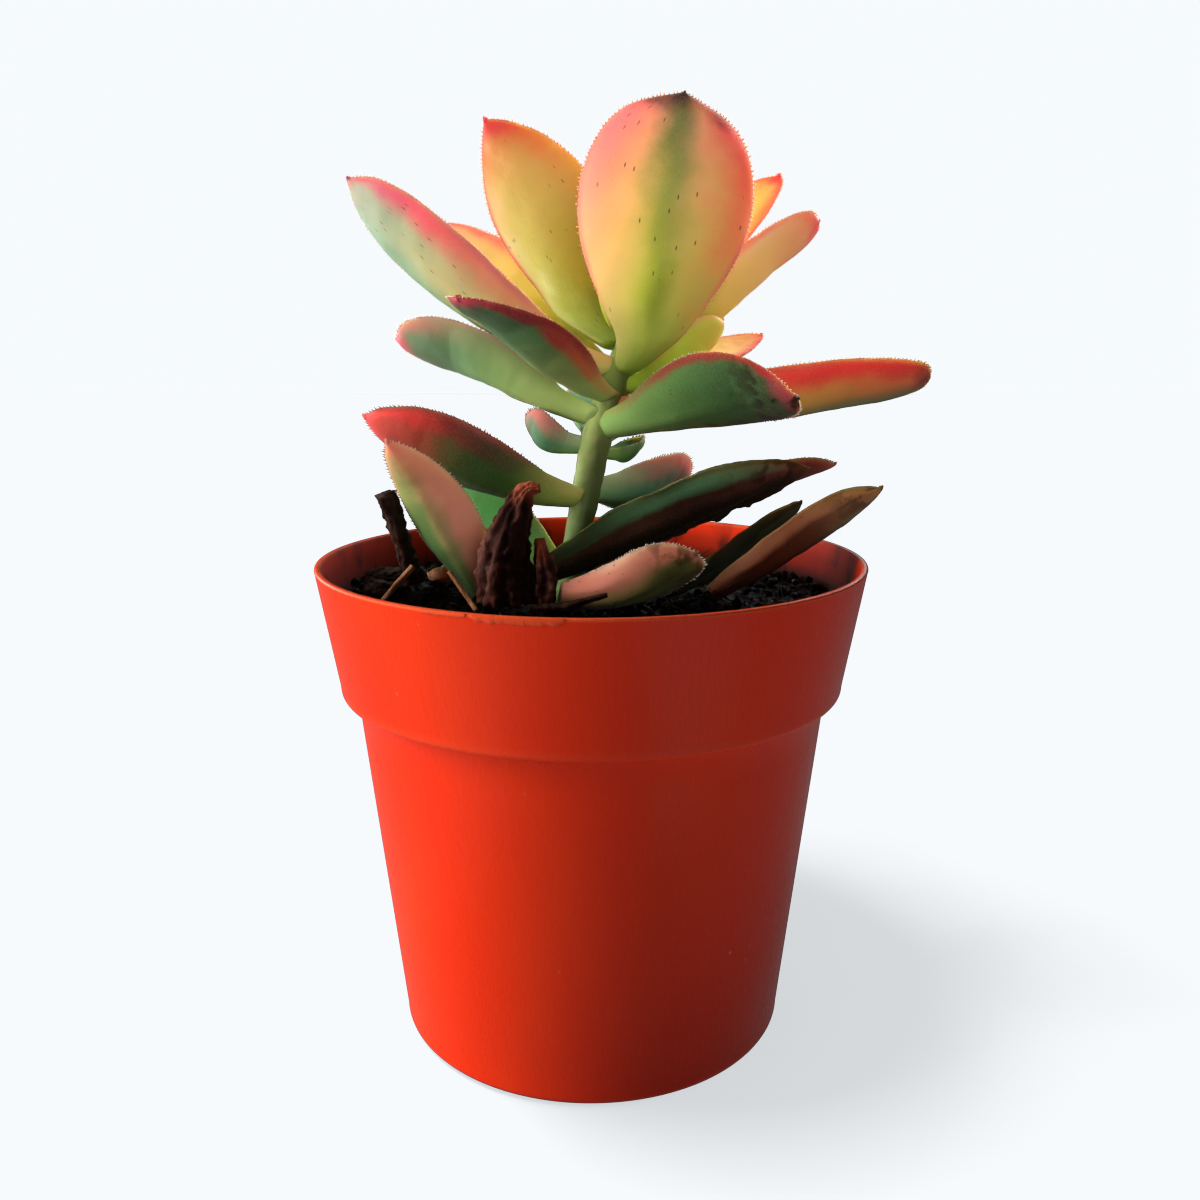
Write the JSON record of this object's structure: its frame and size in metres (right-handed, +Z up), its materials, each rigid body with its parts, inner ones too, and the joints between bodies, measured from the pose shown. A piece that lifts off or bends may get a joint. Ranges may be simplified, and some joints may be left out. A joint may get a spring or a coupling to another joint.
{
  "type": "potted kalanchoe",
  "caption": "Small succulent with fleshy, pink-edged leaves round one upright stem, standing in soil in a stepped round nursery pot.",
  "frame": {"origin": "middle of the pot's underside, on the surface that the pot stands on", "axes": "+Z up along the pot; -Y towards the front, where the broad crown leaf faces; +X to the right seen from the front"},
  "size_m": [0.0995, 0.09, 0.1497],
  "materials": {
    "pot_plastic": "satin orange-red moulded plastic",
    "potting_soil": "loose dark peat with bark fibres",
    "stem_green": "smooth pale green skin",
    "crown_leaf": "waxy yellow-green with pink and red edges",
    "green_leaf": "waxy green with crimson toothed edges",
    "old_leaf": "dull green going brown and black",
    "dried_leaf": "dry, wrinkled dark brown",
    "bark": "rough dark bark",
    "straw": "dry straw and twig",
    "root_wood": "pale brown root skin"
  },
  "bodies": {
    "root": {"bark_lump_1": "bark", "bark_lump_2": "bark", "bark_lump_3": "bark", "bark_splinter": "bark", "bark_stick": "bark", "bud_leaf_1": "crown_leaf", "bud_leaf_2": "crown_leaf", "bud_leaf_3": "crown_leaf", "bud_leaf_4": "crown_leaf", "bud_leaf_5": "crown_leaf", "crown_leaf_back": "crown_leaf", "crown_leaf_back_left": "crown_leaf", "crown_leaf_back_right": "crown_leaf", "crown_leaf_front": "crown_leaf", "crown_leaf_left": "crown_leaf", "crown_leaf_lower_right": "crown_leaf", "crown_leaf_right": "crown_leaf", "crown_leaf_short": "crown_leaf", "dried_leaf_curled": "dried_leaf", "dried_leaf_small": "dried_leaf", "fallen_leaf_right": "old_leaf", "leaf_back": "green_leaf", "leaf_back_right": "green_leaf", "leaf_behind_wilted": "old_leaf", "leaf_far_left": "green_leaf", "leaf_far_right": "green_leaf", "leaf_front_left": "green_leaf", "leaf_front_right": "green_leaf", "leaf_left": "green_leaf", "leaf_low_back_left": "green_leaf", "leaf_low_back_right": "green_leaf", "leaf_low_left": "green_leaf", "leaf_scrap": "old_leaf", "pot": "pot_plastic", "roots": "root_wood", "small_leaf_left": "green_leaf", "small_leaf_right": "green_leaf", "soil": "potting_soil", "soil_leaf_front": "green_leaf", "standing_leaf_left": "green_leaf", "stem": "stem_green", "straw_left": "straw", "strip_leaf_right": "old_leaf", "twig_front": "straw", "wilted_leaf_right": "old_leaf"}
  },
  "joints": []
}
